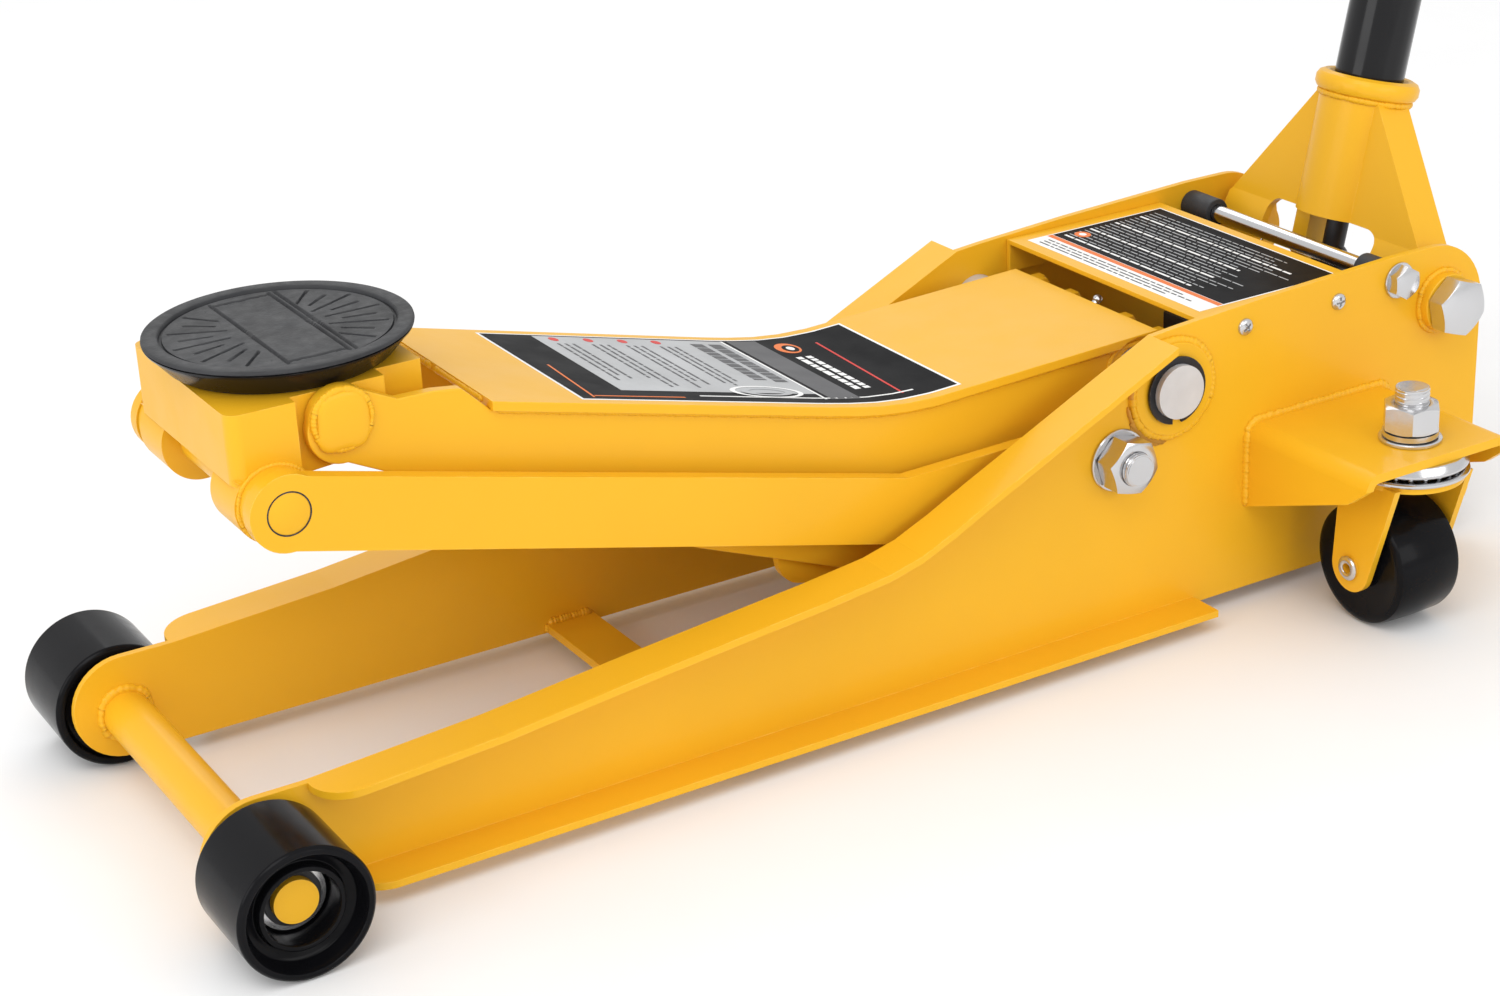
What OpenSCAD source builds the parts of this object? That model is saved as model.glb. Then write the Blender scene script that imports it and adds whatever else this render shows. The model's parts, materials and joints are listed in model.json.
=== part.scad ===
// Low-profile garage floor jack, lift arm partly raised.
// +X points from the front rollers to the handle, +Z up, floor at Z = 0.
// Inside the file X is counted from the front axle; shift_x then centres the whole object.

/* [Chassis] */
// inner distance between the two side plates
plate_gap = 176; // [170:1:190]
// sheet thickness of the side plates
plate_t = 4; // [4:0.5:6]
// width of the outward flanges
flange_w = 22; // [18:1:26]
// chassis length behind the front axle
chassis_len = 758; // [754:1:780]

/* [Rollers] */
// front roller diameter
roller_d = 67; // [64:1:68]
// front roller width
roller_w = 54; // [44:1:56]
// caster wheel diameter
caster_d = 70; // [66:1:71]
// caster wheel width
caster_w = 43; // [36:1:44]

/* [Lift arm] */
// width of the arm's top plate
arm_w = 130; // [120:1:132]
// thickness of the arm's top plate
arm_t = 5; // [4:0.5:6]
// main shaft diameter
shaft_d = 30; // [26:1:32]
// thickness of the parallel links
link_t = 8; // [6:0.5:9]
// height of the parallel links
link_h = 36; // [32:1:38]

/* [Saddle] */
// diameter of the saddle
saddle_d = 128; // [110:1:130]
// thickness of the rubber pad above the steel plate
pad_t = 9; // [8:0.5:12]
// number of grooves on each side of the plain band
groove_n = 6; // [4:1:8]

/* [Handle] */
// handle tube diameter
handle_d = 40; // [38:1:41]
// handle length from the yoke pivot to the tip
handle_len = 1130; // [1050:5:1200]
// lean of the handle from the vertical, in degrees
handle_lean = 13; // [8:1:16]

/* [Hidden] */
$fn = 48;
paint = [0.96, 0.70, 0.10];
steel = [0.75, 0.76, 0.78];
dark = [0.09, 0.09, 0.10];
iron = [0.28, 0.29, 0.31];

run = 0.05;                       // running clearance
y_in = plate_gap / 2;
y_out = y_in + plate_t;
roller_r = roller_d / 2;
axle_z = roller_r;
roller_y = y_out + 5;

// pivots, as [x, z]
piv = [534, 141.5];               // main shaft
tip = [75.5, 225.5];              // arm pins in the saddle head
off = [36, 32.5];                 // from a link pivot to the arm pivot beside it
link_a = tip - off;
link_b = piv - off;
link_mid = [372, 107];            // bend of the links
crank_r = 88;
crank_a = 7.75;
crank = piv + crank_r * [sin(crank_a), -cos(crank_a)];
ram_z = piv[1] - crank_r * (1 + cos(27.25)) / 2;
shaft_r = shaft_d / 2;

// lift arm
arm_y = arm_w / 2 - 3;            // outer faces of the arm sides
side_t = 6;
ear_r = 16;                       // passes beside the cone of the saddle at every height
hub_r = 21;
arm_line = [[150, 217], [336, 169.2], [352, 165.4], [368, 162.2], [384, 160.2], [402, 159.4],
  [546, 164]];
belly = [[258, 111], [342, 77], [368, 69], [400, 68], [470, 82], [513, 112]];

// parallel links
link_y = 70;
pin_r = 10.5;
bolt_r = 9;

// saddle head
head_top = 238.7;
saddle_x = 73;
saddle_r = saddle_d / 2;
plate_z = head_top + 0.3;
stem_r = 15;

// rear end
cover_x0 = 556;
cover_x1 = 669;
cover_z = 174;
rod = [694, 168];
yoke_p = [727, 149];
yoke_y = 82;
yoke_bolt_r = 10;
bore_r = handle_d / 2 + 0.08;
caster_x = 642;
caster_y = 161;
br_z = 108;
br_t = 5;
br_x0 = 587;
br_x1 = 690;
br_y = 188;
stud_r = 9;
trail = 12;
pump_y = 22;
pump_z = 116;
cam = [20.6, -29.5];              // pump roller, seen from the yoke pivot

// whole object, for the origin in the middle of its footprint
tip_x = yoke_p[0] + handle_len * sin(handle_lean) + (handle_d / 2 + 3) * cos(handle_lean);
shift_x = (tip_x - roller_r) / 2;

// ---------- helpers ----------

// extrudes an (x, z) outline from y0 to y1
module slab(y0, y1) {
  translate([0, y1, 0]) rotate([90, 0, 0]) linear_extrude(height = y1 - y0) children();
}

// the same, on both sides of the middle plane
module slabs(y0, y1) {
  slab(y0, y1) children();
  slab(-y1, -y0) children();
}

// cylinder along Y through the point p = [x, z]
module rod_y(p, r, y0, y1) {
  translate([p[0], y1, p[1]]) rotate([90, 0, 0]) cylinder(r = r, h = y1 - y0);
}

module rods_y(p, r, y0, y1) {
  rod_y(p, r, y0, y1);
  rod_y(p, r, -y1, -y0);
}

// six-sided head or nut along Y
module hex_y(p, flats, y0, y1) {
  translate([p[0], y1, p[1]]) rotate([90, 0, 0])
    rotate(15) cylinder(r = flats / sqrt(3), h = y1 - y0, $fn = 6);
}

// straight strap of width w between two points
module strap(a, b, w) {
  u = (b - a) / norm(b - a);
  n = [-u[1], u[0]] * w / 2;
  polygon([a - n, b - n, b + n, a + n]);
}

module disc(p, r) {
  translate(p) circle(r = r);
}

function lowered(points, d) = [for (p = points) [p[0], p[1] - d]];
function backwards(points) = [for (i = [len(points) - 1 : -1 : 0]) points[i]];

module in_yoke() {
  translate([yoke_p[0], 0, yoke_p[1]]) rotate([0, handle_lean, 0]) children();
}

module at_casters() {
  for (s = [-1, 1]) translate([caster_x, s * caster_y, 0]) children();
}

// ---------- chassis ----------

flange_line = [[28, 65], [120, 71], [200, 79.5], [300, 89], [338, 93.5], [358, 98.5], [378, 107],
  [400, 117.5], [440, 136], [480, 154.5], [521, 173.5]];
nose = [1, 37];
nose_r = 28;

module plate_outline() {
  rr = 38;
  difference() {
    union() {
      disc(nose, nose_r);
      disc([chassis_len - rr, 182 - rr], rr);
      disc([chassis_len - 24, 33], 24);
      polygon(concat([[nose[0], 9], [chassis_len - 24, 9], [chassis_len, 33],
        [chassis_len, 182 - rr], [chassis_len - rr, 182], [690, 182], [600, 178.5], [540, 175]],
        backwards(flange_line), [[nose[0], 65]]));
    }
    disc([0, axle_z], 12.5);
    disc(piv, shaft_r);
    disc(link_b, bolt_r);
    disc(rod, 5);
    disc(yoke_p, yoke_bolt_r);
    for (x = [584, 650]) disc([x, 165], 2.5);
  }
}

module flange_plan() {
  r = 20;
  translate([28 + r, y_out - 10]) square([560, flange_w + 10]);
  translate([28, y_out - 10]) square([r + 1, flange_w + 10 - r]);
  translate([28 + r, y_out + flange_w - r]) circle(r = r);
}

module side_plate() {
  slab(y_in, y_out) plate_outline();
  intersection() {
    slab(y_out, y_out + flange_w)
      polygon(concat(flange_line, backwards(lowered(flange_line, plate_t))));
    linear_extrude(height = 200) flange_plan();
  }
  intersection() {
    translate([40, y_out, 9]) cube([512, flange_w, plate_t]);
    translate([12, 0, 0]) linear_extrude(height = 30) flange_plan();
  }
}

module side_plate_right() {
  color(paint) side_plate();
}

module side_plate_left() {
  color(paint) mirror([0, 1, 0]) side_plate();
}

module front_axle() {
  color(paint) {
    rod_y([0, axle_z], 12.5, -y_out - 1, y_out + 1);
    rods_y([0, axle_z], 11, y_out + 1, 137);
  }
}

module axle_washers() {
  color(steel) for (s = [0, 1]) mirror([0, s, 0]) {
    difference() {
      rod_y([0, axle_z], 17, roller_y + roller_w - 21.7, roller_y + roller_w - 20);
      rod_y([0, axle_z], 11, 90, 160);
    }
    difference() {
      rod_y([0, axle_z], 17, y_out + 1, roller_y - 0.3);
      rod_y([0, axle_z], 11, 80, 160);
    }
  }
}

module snap_rings() {
  color(dark) for (s = [0, 1]) mirror([0, s, 0]) {
    difference() {
      rod_y([0, axle_z], 14, roller_y + roller_w - 20, roller_y + roller_w - 18.2);
      rod_y([0, axle_z], 11, 90, 160);
    }
    difference() {
      rod_y(piv, shaft_r + 4, y_out + 4, y_out + 5.6);
      rod_y(piv, shaft_r, 0, 130);
      translate([piv[0] - 3, 80, piv[1] - 30]) cube([6, 40, 20]);
    }
  }
}

module cross_bar() {
  color(paint) translate([241, -y_in, 9.5]) cube([29, 2 * y_in, 5]);
}

module cover_plate() {
  color(paint) difference() {
    union() {
      translate([cover_x0, -y_in + 0.2, cover_z - 3])
        cube([cover_x1 - cover_x0, 2 * y_in - 0.4, 3]);
      for (s = [-1, 1])
        translate([cover_x0, s * (y_in - 1.7) - 1.5, cover_z - 20])
          cube([cover_x1 - cover_x0, 3, 18]);
    }
    for (x = [584, 650]) rods_y([x, 165], 2.5, 70, 100);
  }
}

module cover_screws() {
  color(steel) for (x = [584, 650]) {
    rods_y([x, 165], 2.5, y_in - 6, y_out);
    rods_y([x, 165], 4.8, y_out, y_out + 2.4);
  }
}

module cross_rod() {
  color(steel) rod_y(rod, 5, -y_out, y_out);
}

module rod_sleeves() {
  color(dark) difference() {
    rods_y(rod, 8.5, y_in - 24, y_in);
    rod_y(rod, 5, -100, 100);
  }
}

module rod_bolts() {
  color(steel) for (s = [0, 1]) mirror([0, s, 0]) {
    rod_y(rod, 10.5, y_out, y_out + 1.5);
    hex_y(rod, 16, y_out + 1.5, y_out + 8);
  }
}

module main_shaft() {
  color(steel) rod_y(piv, shaft_r, -y_out - 9, y_out + 9);
}

module shaft_bosses() {
  color(paint) difference() {
    rods_y(piv, 26, y_out, y_out + 3);
    rod_y(piv, shaft_r, -130, 130);
  }
}

module link_bolts() {
  color(steel) {
    rods_y(link_b, bolt_r, link_y - 3.7, y_out + 20);
    rods_y(link_b, 13, link_y - 3.7, link_y - 0.3);
    difference() {
      rods_y(link_b, 14, link_y + link_t + 0.3, y_in);
      rod_y(link_b, bolt_r, -130, 130);
    }
  }
}

module link_nuts() {
  color(steel) difference() {
    for (s = [0, 1]) mirror([0, s, 0]) {
      rod_y(link_b, 17.5, y_out, y_out + 2);
      hex_y(link_b, 28, y_out + 2, y_out + 16);
    }
    rod_y(link_b, bolt_r, -130, 130);
  }
}

// ---------- rear brackets ----------

// sheet bent down at both ends, as an (x, z) outline of the given depth below its top
module bent_sheet(x0, x1, z1, depth, bend) {
  translate([x0, z1 - depth]) square([x1 - x0, depth - bend]);
  translate([x0 + bend, z1 - depth]) square([x1 - x0 - 2 * bend, depth]);
  for (x = [x0 + bend, x1 - bend]) translate([x, z1 - bend]) circle(r = bend);
}

module caster_bracket() {
  h_in = 50;
  bend = 9;
  color(paint) difference() {
    intersection() {
      slab(y_out, br_y) difference() {
        bent_sheet(br_x0, br_x1, br_z, h_in + 1, bend);
        bent_sheet(br_x0 + br_t, br_x1 - br_t, br_z - br_t, h_in, bend - br_t);
      }
      translate([br_x0 - 1, 0, 0]) rotate([90, 0, 90]) linear_extrude(height = br_x1 - br_x0 + 2)
        polygon([[y_out - 1, br_z - h_in], [br_y - 14, br_z - 20], [br_y + 1, br_z - 8],
          [br_y + 1, br_z + 1], [y_out - 1, br_z + 1]]);
    }
    translate([caster_x, caster_y, 80]) cylinder(r = stud_r, h = 60);
  }
}

module caster_bracket_right() {
  caster_bracket();
}

module caster_bracket_left() {
  mirror([0, 1, 0]) caster_bracket();
}

module caster_studs() {
  color(steel) at_casters() {
    translate([0, 0, 84]) cylinder(r = stud_r, h = 54);
    translate([0, 0, 84]) cylinder(r = 13, h = 3.7);
  }
}

module caster_nuts() {
  color(steel) at_casters() difference() {
    translate([0, 0, br_z + 6]) rotate(15) cylinder(r = 28 / sqrt(3), h = 15, $fn = 6);
    translate([0, 0, 80]) cylinder(r = stud_r, h = 60);
  }
}

module caster_washers() {
  color(steel) at_casters() difference() {
    union() {
      translate([0, 0, br_z]) cylinder(r = 17, h = 2.5);
      translate([0, 0, br_z + 2.5]) cylinder(r = 15.5, h = 3.5);
    }
    translate([0, 0, 80]) cylinder(r = stud_r, h = 60);
  }
}

module caster_races() {
  color(steel) at_casters() rotate_extrude()
    polygon([[stud_r, 103], [stud_r, 99], [22, 99], [26, 96.5], [31, 96.5], [32, 98],
      [30, 103]]);
}

module yoke_bosses() {
  color(paint) difference() {
    rods_y(yoke_p, 17, y_out, y_out + 7);
    rod_y(yoke_p, yoke_bolt_r, -130, 130);
  }
}

module yoke_bolts() {
  color(steel) for (s = [0, 1]) mirror([0, s, 0]) {
    rod_y(yoke_p, yoke_bolt_r, 68, y_out + 7);
    hex_y(yoke_p, 30, y_out + 7, y_out + 19);
  }
}

// ---------- hydraulic unit ----------

module pump_block() {
  color(iron) difference() {
    union() {
      translate([660, -46, 16]) cube([80, 92, 84]);
      translate([630, 10, 99]) cube([60, 24, 29]);
      translate([668, -y_in, 24]) cube([64, 2 * y_in, 14]);
    }
    translate([600, 0, ram_z]) rotate([0, 90, 0]) cylinder(r = 16 + run, h = 131);
    translate([636, pump_y, pump_z]) rotate([0, 90, 0]) cylinder(r = 7 + run, h = 80);
    translate([yoke_p[0], 0, 80]) cylinder(r = 6 + run, h = 40);
  }
}

module reservoir() {
  color(paint) difference() {
    translate([604, 0, ram_z]) rotate([0, 90, 0]) cylinder(r = 37, h = 56);
    translate([590, 0, ram_z]) rotate([0, 90, 0]) cylinder(r = 16 + run, h = 90);
  }
}

module unit_bolts() {
  color(steel) for (x = [682, 718]) for (s = [0, 1]) mirror([0, s, 0]) {
    rod_y([x, 31], 10.5, y_out, y_out + 1.5);
    hex_y([x, 31], 16, y_out + 1.5, y_out + 8);
  }
}

// ---------- rollers ----------

module roller() {
  w = roller_w;
  r = roller_r;
  translate([0, roller_y, axle_z]) rotate([-90, 0, 0]) rotate_extrude()
    polygon([[11 + run, 0], [20, 0], [22, 3], [28, 3], [29, 0], [r - 1.5, 0], [r, 1.5],
      [r, w - 1.5], [r - 1.5, w], [29.5, w], [27, w - 9], [22, w - 11], [21, w - 6], [18.5, w - 6],
      [18, w - 22], [11 + run, w - 22]]);
}

module roller_right() {
  color(dark) roller();
}

module roller_left() {
  color(dark) mirror([0, 1, 0]) roller();
}

// ---------- lift arm ----------

module arm_top() {
  color(paint) difference() {
    slab(-arm_w / 2, arm_w / 2)
      polygon(concat(lowered(arm_line, arm_t), backwards(arm_line)));
    rod_y(piv, hub_r, -80, 80);
  }
}

// what the ears round the hub leave free for the top plate
module top_plate_room() {
  rear = arm_line[len(arm_line) - 1];
  near = arm_line[len(arm_line) - 2];
  far = rear + (rear - near) / 6;
  slab(-80, 80) polygon([near - [0, arm_t], far - [0, arm_t], [far[0], 190], [near[0], 190]]);
}

module arm_side() {
  difference() {
    slab(arm_y - side_t, arm_y) union() {
      disc(tip, ear_r);
      disc(tip - [0, 5], 17.2);
      disc(piv, 32);
      polygon(concat([tip + [-6.5, -18.3]], belly, [piv + [0, -32], piv + [12, 10]],
        backwards(lowered([for (i = [1 : len(arm_line) - 1]) arm_line[i]], arm_t)),
        [[150, 217 - arm_t], [136, 226], [122, 228], tip + [28, 3], tip + [2, ear_r - 0.2]]));
    }
    rod_y(tip, 10, 0, 80);
    rod_y(piv, hub_r, 0, 80);
    top_plate_room();
  }
}

module arm_side_right() {
  color(paint) arm_side();
}

module arm_side_left() {
  color(paint) mirror([0, 1, 0]) arm_side();
}

module arm_doublers() {
  color(paint) difference() {
    slabs(arm_y - side_t - 5, arm_y - side_t) union() {
      disc([323, 88], 16);
      disc(piv, 30);
      polygon([[320, 72.3], [370, 63], [400, 64], [470, 84], [piv[0], piv[1] - 30],
        [piv[0] - 6, piv[1] + 10], [316, 102.4]]);
    }
    rod_y(piv, hub_r, -80, 80);
    top_plate_room();
  }
}

module arm_hub() {
  color(paint) difference() {
    rod_y(piv, hub_r, -arm_y, arm_y);
    rod_y(piv, shaft_r + run, -80, 80);
    at_nipple() translate([0, 0, 14]) cylinder(r = 3, h = 20);
  }
}

module arm_pins() {
  color(paint) {
    rods_y(tip, 10, 28, arm_y + 1.5);
    rods_y(tip, 15, arm_y, arm_y + 1.5);
  }
}

module arm_cranks() {
  color(paint) difference() {
    slabs(21, 29) union() {
      disc(crank, 17);
      disc(piv, 30);
      strap(piv, crank, 36);
    }
    rod_y(piv, hub_r, -80, 80);
    rod_y(crank, 9, -80, 80);
    top_plate_room();
  }
}

module crank_pin() {
  color(steel) rod_y(crank, 9, -30, 30);
}

module at_nipple() {
  translate([piv[0], 0, piv[1]]) rotate([0, 47, 0]) children();
}

module grease_nipple() {
  color(steel) at_nipple() {
    translate([0, 0, 16]) cylinder(r = 3, h = 8);
    translate([0, 0, 22]) cylinder(r = 4, h = 3, $fn = 6);
    translate([0, 0, 24]) cylinder(r = 2, h = 4);
    translate([0, 0, 29]) sphere(r = 2.8);
  }
}

// ---------- parallel links ----------

module link() {
  difference() {
    slab(link_y, link_y + link_t) union() {
      disc(link_a, link_h / 2 + 1);
      disc(link_b, link_h / 2);
      disc(link_mid, link_h / 2);
      strap(link_a, link_mid, link_h);
      strap(link_mid, link_b, link_h);
    }
    rod_y(link_a, pin_r, 0, 90);
    rod_y(link_b, bolt_r + run, 0, 90);
  }
}

module link_right() {
  color(paint) link();
}

module link_left() {
  color(paint) mirror([0, 1, 0]) link();
}

module link_pin() {
  color(paint) rod_y(link_a, pin_r, -link_y - link_t + 0.4, link_y + link_t - 0.4);
}

// ---------- saddle ----------

module head_front_plan() {
  r = 7;
  translate([21, -62 + r]) square([34, 124 - 2 * r]);
  translate([21 + r, -62]) square([34 - r, 124]);
  for (s = [-1, 1]) translate([21 + r, s * (62 - r)]) circle(r = r);
}

module saddle_head() {
  color(paint) difference() {
    union() {
      intersection() {
        slab(-62, 62) union() {
          polygon([[21, 204], [54, 197], [54, head_top], [21, head_top]]);
        }
        translate([0, 0, 150]) linear_extrude(height = 100) head_front_plan();
      }
      slabs(32, 62) union() {
        disc(link_a, 20);
        polygon([link_a, [54, 186], [54, 207], [21.5, 207]]);
      }
      rods_y(link_a, 18, 61, link_y - 0.5);
      slab(-arm_y + side_t + 1, arm_y - side_t - 1)
        polygon([[50, 200], [92, 203], [101, 212], [101, head_top], [50, head_top]]);
      slab(-45, 45) polygon([[100, 219], [116, 219], [124, 222], [124, head_top], [100, head_top]]);
    }
    rod_y(link_a, pin_r + run, -80, 80);
    rods_y(tip, 10 + run, 27, 80);
    translate([saddle_x, 0, 206]) cylinder(r = stem_r + run, h = 40);
  }
}

module saddle_plate() {
  color(dark) {
    translate([saddle_x, 0, 206.5]) cylinder(r = stem_r, h = plate_z - 206.5);
    translate([saddle_x, 0, plate_z]) cylinder(r = saddle_r - 12, h = 6);
  }
}

module saddle_pad() {
  z1 = plate_z + 6;
  z2 = z1 + pad_t;
  color(iron) translate([saddle_x, 0, 0]) difference() {
    rotate_extrude() polygon([[0, z1], [saddle_r - 12, z1], [saddle_r - 12, plate_z + 1],
      [saddle_r - 10.5, plate_z + 1], [saddle_r - 1, z2 - 3.5], [saddle_r, z2 - 2.5],
      [saddle_r, z2 - 1], [saddle_r - 1, z2], [saddle_r - 7, z2], [saddle_r - 9, z2 - 2],
      [0, z2 - 2]]);
    translate([0, 0, z2 - 3.5]) {
      for (s = [-1, 1]) translate([s * 18 - 0.8, -saddle_r + 14, 0]) cube([1.6, 100, 3]);
      for (s = [0, 180]) for (i = [0 : groove_n - 1])
        rotate(s - 60 + i * 120 / (groove_n - 1)) translate([30, -0.8, 0]) cube([22, 1.6, 3]);
    }
  }
}

// ---------- ram and pump ----------

module ram() {
  color(steel) translate([crank[0] + 12, 0, ram_z]) rotate([0, 90, 0])
    cylinder(r = 16, h = 128);
}

module ram_fork() {
  color(iron) difference() {
    translate([crank[0] - 20, -19, ram_z - 21]) cube([42, 38, 42]);
    slab(-25, 25) strap([crank[0], ram_z - 6.5], [crank[0], ram_z + 6.5], 20);
    rod_y([crank[0], ram_z - 6.5], 10, -25, 25);
    rod_y([crank[0], ram_z + 6.5], 10, -25, 25);
    translate([crank[0] + 12, 0, ram_z]) rotate([0, 90, 0]) cylinder(r = 16, h = 30);
  }
}

module pump_plunger() {
  color(steel) translate([672, pump_y, pump_z]) rotate([0, 90, 0]) {
    cylinder(r = 7, h = 55);
    translate([0, 0, 54.5]) cylinder(r = 11, h = 5);
  }
}

module release_valve() {
  color(steel) {
    translate([yoke_p[0], 0, 86]) cylinder(r = 6, h = yoke_p[1] - 11.5 - 86);
    translate([yoke_p[0], 0, 102]) cylinder(r = 11, h = 7, $fn = 6);
  }
}

// ---------- yoke ----------

module yoke_side_outline() {
  disc([0, 0], 20);
  polygon([[20, 0], [11, 24], [11, 98], [-13, 98], [-13, 24], [-20, 0]]);
}

module yoke_front_outline() {
  polygon([[-yoke_y, -21], [yoke_y, -21], [yoke_y, 22], [24, 98], [-24, 98], [-yoke_y, 22]]);
}

module yoke_core() {
  intersection() {
    slab(-yoke_y, yoke_y) yoke_side_outline();
    translate([-60, 0, 0]) rotate([90, 0, 90])
      linear_extrude(height = 120) yoke_front_outline();
  }
}

module yoke_hollow() {
  intersection() {
    slab(-70, 70) polygon([[-30, -30], [-14, 0], [-8, 24], [-8, 92], [40, 92], [40, -30]]);
    translate([-60, 0, 0]) rotate([90, 0, 90]) linear_extrude(height = 120)
      polygon([[-68, -30], [-68, 20], [-22, 80], [22, 80], [68, 20], [68, -30]]);
  }
}

// the opening in the front of the yoke, as a (y, z) outline
module yoke_arch() {
  r = 9;
  top = 27;
  translate([-46, -30]) square([92, 30 + top - r]);
  translate([r - 46, -30]) square([92 - 2 * r, 30 + top]);
  for (s = [-1, 1]) translate([s * (46 - r), top - r]) circle(r = r);
}

module yoke() {
  color(paint) in_yoke() difference() {
    union() {
      difference() {
        yoke_core();
        yoke_hollow();
      }
      translate([0, 0, 27]) cylinder(r = 26, h = 75);
      translate([0, 0, 104]) rotate_extrude()
        polygon([[20.5, -5], [25.5, -6], [28.5, -4.6], [30, -2], [30, 2], [28.5, 4.6], [25.5, 6],
          [23, 5.5], [20.5, 3]]);
      slab(pump_y - 6, pump_y + 6) polygon([[-8, 0], cam + [-8, 10], cam + [-6, 3],
        cam + [-6, -3], cam + [-2, -6.5], cam + [3, -6.5], cam + [7.5, -3], cam + [9, 3], [15, 4],
        [12, 40], [-8, 40]]);
    }
    translate([0, 0, 36]) cylinder(r = bore_r, h = 90);
    translate([0, 0, 20]) cylinder(r = 14, h = 30);
    rods_y([0, 0], yoke_bolt_r + run, 60, 90);
    translate([-60, 0, 0]) rotate([90, 0, 90]) linear_extrude(height = 52.5) yoke_arch();
    translate([0, 0, 76]) rotate([0, 90, 0]) cylinder(r = 5, h = 60);
    rod_y(cam, 10, pump_y - 3.1, pump_y + 3.1);
    rod_y(cam, 3.5, 10, 34);
  }
}

module yoke_roller() {
  color(steel) in_yoke() {
    rod_y(cam, 3.5, pump_y - 6, pump_y + 6);
    rod_y(cam, 8, pump_y - 3, pump_y + 3);
  }
}

module yoke_screw() {
  color(steel) in_yoke() translate([0, 0, 76]) rotate([0, 90, 0]) {
    translate([0, 0, handle_d / 2 + 0.3]) cylinder(r = 5, h = 16);
    translate([0, 0, 30]) cylinder(r = 16 / sqrt(3), h = 6.5, $fn = 6);
  }
}

// ---------- handle ----------

hr = handle_d / 2;
half = 560;

module tube(r, wall, z0, z1) {
  difference() {
    translate([0, 0, z0]) cylinder(r = r, h = z1 - z0);
    translate([0, 0, z0 - 1]) cylinder(r = r - wall, h = z1 - z0 + 2);
  }
}

module handle_lower() {
  color(dark) in_yoke() difference() {
    tube(hr, 2.5, 38, half);
    translate([0, 0, half - 40]) rotate([90, 0, 0]) cylinder(r = 4, h = 60);
  }
}

module handle_upper() {
  color(dark) in_yoke() {
    difference() {
      tube(hr - 2.5, 2.5, half - 70, half + 12);
      translate([0, 0, half - 40]) rotate([90, 0, 0]) cylinder(r = 4, h = 60);
    }
    tube(hr, 5, half, handle_len - 4);
  }
}

module handle_button() {
  color(steel) in_yoke() translate([0, 0, half - 40]) rotate([90, 0, 0]) {
    cylinder(r = 4, h = hr + 2);
    translate([0, 0, hr - 8.5]) cylinder(r = 5.5, h = 2.5);
  }
}

module handle_drive() {
  color(dark) in_yoke() {
    sphere(r = 11);
    cylinder(r = 6.5, h = 42);
    translate([0, 0, 39]) cylinder(r = hr - 2.5, h = 14);
  }
}

module handle_bumper() {
  color(dark) in_yoke() tube(hr + 5, 5, 300, 420);
}

module handle_grip() {
  color(dark) in_yoke() {
    tube(hr + 3, 3, handle_len - 150, handle_len - 4);
    translate([0, 0, handle_len - 4]) cylinder(r = hr + 3, h = 4);
  }
}

// ---------- casters, axle along X ----------

module fork() {
  translate([0, 0, 88]) difference() {
    cylinder(r = 30, h = 4);
    translate([0, 0, -5]) cylinder(r = stud_r + run, h = 20);
  }
  rotate_extrude() polygon([[stud_r + run, 92], [stud_r + run, 95], [21, 95], [25, 93.5],
    [32, 93.5], [32, 92]]);
  for (s = [-1, 1]) translate([s * 26, 0, 0]) rotate([90, 0, 90]) translate([0, 0, -2])
    linear_extrude(height = 4) difference() {
      union() {
        disc([trail, caster_d / 2], 14);
        polygon([[trail - 13.5, caster_d / 2 - 4], [trail, caster_d / 2 - 14],
          [trail + 14, caster_d / 2], [22, 90], [-20, 90]]);
      }
      disc([trail, caster_d / 2], 5);
    }
  difference() {
    translate([-30, trail, caster_d / 2]) rotate([0, 90, 0]) cylinder(r = 5, h = 60);
    translate([-40, trail, caster_d / 2]) rotate([0, 90, 0]) cylinder(r = 3, h = 80);
  }
  for (s = [-1, 1]) translate([s * 29 - 1, trail, caster_d / 2]) rotate([0, 90, 0])
    difference() {
      cylinder(r = 6.5, h = 2);
      translate([0, 0, -1]) cylinder(r = 3, h = 4);
    }
}

module caster_right() {
  color(paint) translate([caster_x, caster_y, 0]) mirror([0, 1, 0]) fork();
}

module caster_left() {
  color(paint) translate([caster_x, -caster_y, 0]) fork();
}

module caster_wheel(s) {
  w = caster_w / 2;
  r = caster_d / 2;
  color(dark) translate([caster_x, s * (caster_y - trail), r]) rotate([0, 90, 0])
    rotate_extrude()
      polygon([[5 + run, -w - 1.5], [9, -w - 1.5], [9, -w], [r - 4, -w], [r - 1, -w + 2], [r, -w + 5],
        [r, w - 5], [r - 1, w - 2], [r - 4, w], [9, w], [9, w + 1.5], [5 + run, w + 1.5]]);
}

module caster_wheel_left() {
  caster_wheel(-1);
}

module caster_wheel_right() {
  caster_wheel(1);
}

// ---------- nodes ----------

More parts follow.
